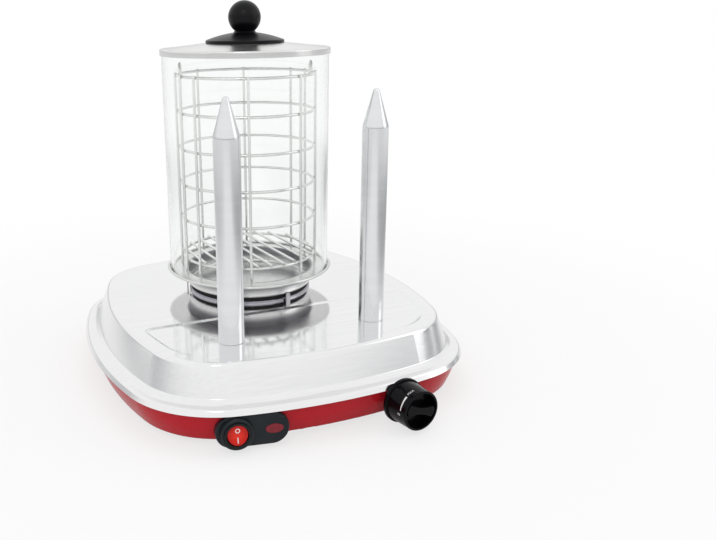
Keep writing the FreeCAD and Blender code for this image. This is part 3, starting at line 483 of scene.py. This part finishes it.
ink = Finish("white_print")
speck = ink.noise(2600.0, 3.0)
color = ink.mix(tone(0.86, 0.86, 0.85), tone(0.72, 0.72, 0.72), speck)
ink.surface(color, 0.42 + speck * 0.1, speck, 0.00001, {})


def settle(name, shape, material, body):
    """Makes an object of a finished shape, smooth where it is round, and puts it on its body."""
    for face in shape.faces:
        face.smooth = True
    mesh = bpy.data.meshes.new(name)
    shape.to_mesh(mesh)
    shape.free()
    mesh.materials.append(material)
    piece = bpy.data.objects.new(name, mesh)
    bpy.context.scene.collection.objects.link(piece)
    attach(piece, body)


ring_outer = 0.0020
ring_inner = 0.00125
ring_up = 0.0035
bar_width = 0.0008
bar_length = 0.0044
bar_down = 0.0042
hollow = 0.026
face_half = 0.008
print_lift = 0.00004
print_depth = 0.00006

marks = bmesh.new()
upright = Matrix.Rotation(math.radians(90), 3, "X")
bmesh.ops.create_circle(marks, radius=ring_outer, segments=48)
bmesh.ops.create_circle(marks, radius=ring_inner, segments=48)
bmesh.ops.bridge_loops(marks, edges=marks.edges[:])
bmesh.ops.rotate(marks, verts=marks.verts, matrix=upright)
bmesh.ops.translate(marks, verts=marks.verts, vec=(rocker_x, 0, rocker_z + ring_up))
bar = bmesh.ops.create_grid(marks, x_segments=2, y_segments=12, size=0.5)["verts"]
bmesh.ops.scale(marks, verts=bar, vec=(bar_width, bar_length, 1))
bmesh.ops.rotate(marks, verts=bar, matrix=upright)
bmesh.ops.translate(marks, verts=bar, vec=(rocker_x, 0, rocker_z - bar_down))
curve_centre = rocker_y - math.sqrt(hollow ** 2 - face_half ** 2)
for vert in marks.verts:
    rise = vert.co.z - rocker_z
    vert.co.y = curve_centre + math.sqrt(hollow ** 2 - rise ** 2) - print_lift
bmesh.ops.recalc_face_normals(marks, faces=marks.faces)
if sum(face.normal.y for face in marks.faces) > 0:
    bmesh.ops.reverse_faces(marks, faces=marks.faces)
bmesh.ops.solidify(marks, geom=marks.faces[:], thickness=print_depth)
marks.transform(pod_turn @ rocker_tilt)
settle("rocker_marks", marks, ink.material, "rocker")


# Pilot light. A dark red lens, moulded with ribs on its inside, sits in the pod's window in
# front of a small neon tube.

lens = Finish("red_lens")
rib = lens.lines(lens.along("X"), 900.0, 1.0)
cloud = lens.noise(300.0, 3.0)
color = lens.mix(tone(0.090, 0.004, 0.010), tone(0.30, 0.018, 0.030), rib * 0.5 + cloud * 0.5)
lens.surface(color, 0.10 + cloud * 0.08, rib, 0.00006, {"Specular IOR Level": 0.25, "Coat Weight": 0.12})
dress(lens.material, "indicator_lens")

neon = Finish("neon_glass")
haze = neon.noise(500.0, 3.0)
color = neon.mix(tone(0.80, 0.42, 0.22), tone(0.90, 0.62, 0.42), haze)
neon.surface(color, 0.08 + haze * 0.1, haze, 0.00001, {"Transmission Weight": 0.5})
dress(neon.material, "indicator_lamp")


# Blades and leads. Bright brass blades on the switch, and fibreglass-sleeved leads clamped in
# the block on the floor of the pan.

brass = Finish("brass_blades")
tarnish = brass.noise(160.0, 4.0)
color = brass.mix(tone(0.72, 0.52, 0.22), tone(0.52, 0.34, 0.13), tarnish)
brass.surface(color, 0.22 + tarnish * 0.2, tarnish, 0.00002, {"Metallic": 1.0})
dress(brass.material, "switch_blades")

sleeve = Finish("woven_sleeve")
threads = sleeve.place(turn=(0.5, 0.4, 0.8))
weave = sleeve.node("TexChecker", {}, {"Vector": threads, "Scale": 1400.0}, "Fac")
soil = sleeve.noise(70.0, 4.0)
color = sleeve.mix(tone(0.82, 0.81, 0.76), tone(0.66, 0.64, 0.57), weave * 0.5 + soil * 0.5)
sleeve.surface(color, 0.7 + soil * 0.15, weave, 0.00008, {})
dress(sleeve.material, "leads")


# Dial. A black phenolic knob on the thermostat's steel shaft: a broad skirt, a tapered drum
# with a printed scale, and a waisted grip across the hollow in its face. A chrome collar
# stands between it and the pan.

knob_black = (0.0015, 0.0015, 0.0022)
knob_phenolic = moulding("knob_phenolic", knob_black, (0.004, 0.004, 0.006), 0.13, 0.11)
dress(knob_phenolic, "thermostat_knob")
shaft_middle = (0.0554, -0.171, 0.0211)
dress(spun_steel("turned_shaft", shaft_middle, 0.6, 0.74, 0.2), "thermostat_shaft")
dress(spun_steel("chrome_collar", shaft_middle, 0.82, 0.9, 0.06), "knob_collar")

dial_middle = Matrix.Translation((0, -0.1744, 0.0211))
facing_front = Matrix.Rotation(math.radians(90), 4, "X")
dial_place = front_turn(7.0) @ dial_middle @ facing_front

drum_foot = 0.0032
drum_height = 0.0216
drum_radius = 0.0176
drum_taper = 0.0007
scale_lift = 0.00003
scale_depth = 0.00005


def on_drum(vert, bearing, height):
    """Bends a flat mark round the drum: across is towards the right, up is towards the skirt."""
    up = height - vert.co.y
    radius = drum_radius - drum_taper * (up - drum_foot) / drum_height + scale_lift
    angle = math.radians(bearing) - vert.co.x / radius
    vert.co = Vector((radius * math.cos(angle), radius * math.sin(angle), up))


def drum_word(shape, text, size, bearing, height):
    """Adds a word as flat faces and bends it round the drum."""
    letters = bpy.data.curves.new("letters", "FONT")
    letters.body = text
    letters.size = size
    letters.align_x = "CENTER"
    letters.align_y = "CENTER"
    letters.resolution_u = 3
    carrier = bpy.data.objects.new("letters", letters)
    bpy.context.scene.collection.objects.link(carrier)
    bpy.context.view_layer.update()
    shown = carrier.evaluated_get(bpy.context.evaluated_depsgraph_get())
    flat = bpy.data.meshes.new_from_object(shown)
    bpy.data.objects.remove(carrier)
    before = len(shape.verts)
    shape.from_mesh(flat)
    bpy.data.meshes.remove(flat)
    shape.verts.ensure_lookup_table()
    for vert in shape.verts[before:]:
        on_drum(vert, bearing, height)


wedge_bearing = 151.0
wedge_height = 0.0191
wedge_length = math.radians(42.0) * 0.0172
wedge_thin = 0.0009
wedge_thick = 0.0019

scale = bmesh.new()
wedge = bmesh.ops.create_grid(scale, x_segments=28, y_segments=1, size=0.5)["verts"]
for vert in wedge:
    width = wedge_thin + (wedge_thick - wedge_thin) * (vert.co.x + 0.5)
    vert.co = Vector((vert.co.x * wedge_length, vert.co.y * width, 0))
    on_drum(vert, wedge_bearing, wedge_height)
drum_word(scale, "0", 0.0042, 184.0, 0.0176)
drum_word(scale, "MAX", 0.0030, 113.0, 0.0186)
bmesh.ops.remove_doubles(scale, verts=scale.verts, dist=0.000001)
for face in scale.faces:
    middle = face.calc_center_median()
    face.normal_update()
    if face.normal.dot(Vector((middle.x, middle.y, 0))) < 0:
        face.normal_flip()
bmesh.ops.solidify(scale, geom=scale.faces[:], thickness=scale_depth)
scale.transform(dial_place)
settle("dial_scale", scale, ink.material, "thermostat_dial")


# Cord gland. A black rubber bush, moulded with a flange and pushed through the back wall. The
# mains lead would run through it.

dress(rubber("gland_rubber", 0.014), "cord_gland")


# Glass cylinder. Clear drawn borosilicate tube, cut square and fire-polished at both ends. It
# stands free on the bowl's flange.

clear = Finish("clear_glass")
draw = clear.noise(12.0, 2.0, (1, 1, 0.3))
mist = clear.noise(30.0, 5.0)
color = clear.mix(tone(0.97, 0.985, 0.98), tone(0.985, 0.99, 0.99), mist)
clear.surface(color, mist * 0.012, draw, 0.00006, {"Transmission Weight": 1.0, "IOR": 1.47})
dress(clear.material, "glass_cylinder")


# Lid. A spun stainless steel disc, raised in the middle, whose rim turns down over the glass.
# Its black phenolic knob is screwed on from below.

dress(spun_steel("spun_lid", stack_axis, 0.72, 0.86, 0.16), "lid_plate")
lid_black = (0.0022, 0.0022, 0.0032)
lid_phenolic = moulding("lid_phenolic", lid_black, (0.007, 0.007, 0.009), 0.26, 0.20)
dress(lid_phenolic, "lid_knob")
dress(zinc_parts, "lid_washer", "lid_screw")


# Basket. Bright-drawn stainless wire, spot-welded where it crosses: rings, uprights that run
# on down as legs, a stay on each side, floor rods and two lifting loops.

wire = Finish("bright_wire")
drawn = wire.noise(900.0, 4.0, (1, 1, 0.2))
rub = wire.noise(60.0, 3.0)
color = wire.mix(tone(0.74, 0.74, 0.73), tone(0.88, 0.88, 0.87), drawn)
wire.surface(color, 0.12 + rub * 0.14, drawn, 0.00002, {"Metallic": 1.0})
dress(wire.material, "basket_rings", "basket_uprights", "basket_floor", "basket_grips")

ring_radius = 0.0635
floor_height = 0.1025
second_ring = 0.1408
ring_pitch = 0.03325
ring_heights = [floor_height] + [second_ring + ring_pitch * i for i in range(5)]
stay_bearings = [6.9, 186.9]
upright_bearings = [26.0 + 45.0 * i for i in range(8)] + stay_bearings
rod_count = 10
rod_pitch = 0.0126
rod_turn = 3.5
weld_offset = 0.0012
side_weld = (0.0008, 0.0017, 0.0017)
floor_weld = (0.0017, 0.0018, 0.0008)


def weld_nugget(shape, place, size, seed):
    """A small squashed bead with an uneven skin, as a resistance weld leaves it."""
    bead = bmesh.ops.create_icosphere(shape, subdivisions=2, radius=1.0)["verts"]
    for vert in bead:
        vert.co *= 1.0 + 0.10 * math.sin(7.0 * vert.co.x + 5.0 * vert.co.y + seed)
    bmesh.ops.scale(shape, verts=bead, vec=size)
    bmesh.ops.transform(shape, verts=bead, matrix=place)


welds = bmesh.new()
stack = Matrix.Translation(stack_axis)
floor_turn = Matrix.Rotation(math.radians(rod_turn), 4, "Z")
for level, height in enumerate(ring_heights):
    for count, bearing in enumerate(upright_bearings):
        spot = Matrix.Translation((ring_radius + weld_offset, 0, height))
        place = stack @ Matrix.Rotation(math.radians(bearing), 4, "Z") @ spot
        weld_nugget(welds, place, side_weld, level + 3 * count)
for count in range(rod_count):
    across = (count - (rod_count - 1) / 2) * rod_pitch
    for side in (-1, 1):
        along = side * math.sqrt(ring_radius ** 2 - across ** 2)
        spot = Matrix.Translation((across, along, floor_height + weld_offset))
        weld_nugget(welds, stack @ floor_turn @ spot, floor_weld, count + side)
burnt = Finish("weld_metal")
bloom = burnt.noise(900.0, 4.0)
color = burnt.mix(tone(0.46, 0.43, 0.39), tone(0.70, 0.69, 0.68), bloom)
burnt.surface(color, 0.26 + bloom * 0.2, bloom, 0.00004, {"Metallic": 1.0})
settle("basket_welds", welds, burnt.material, "basket")
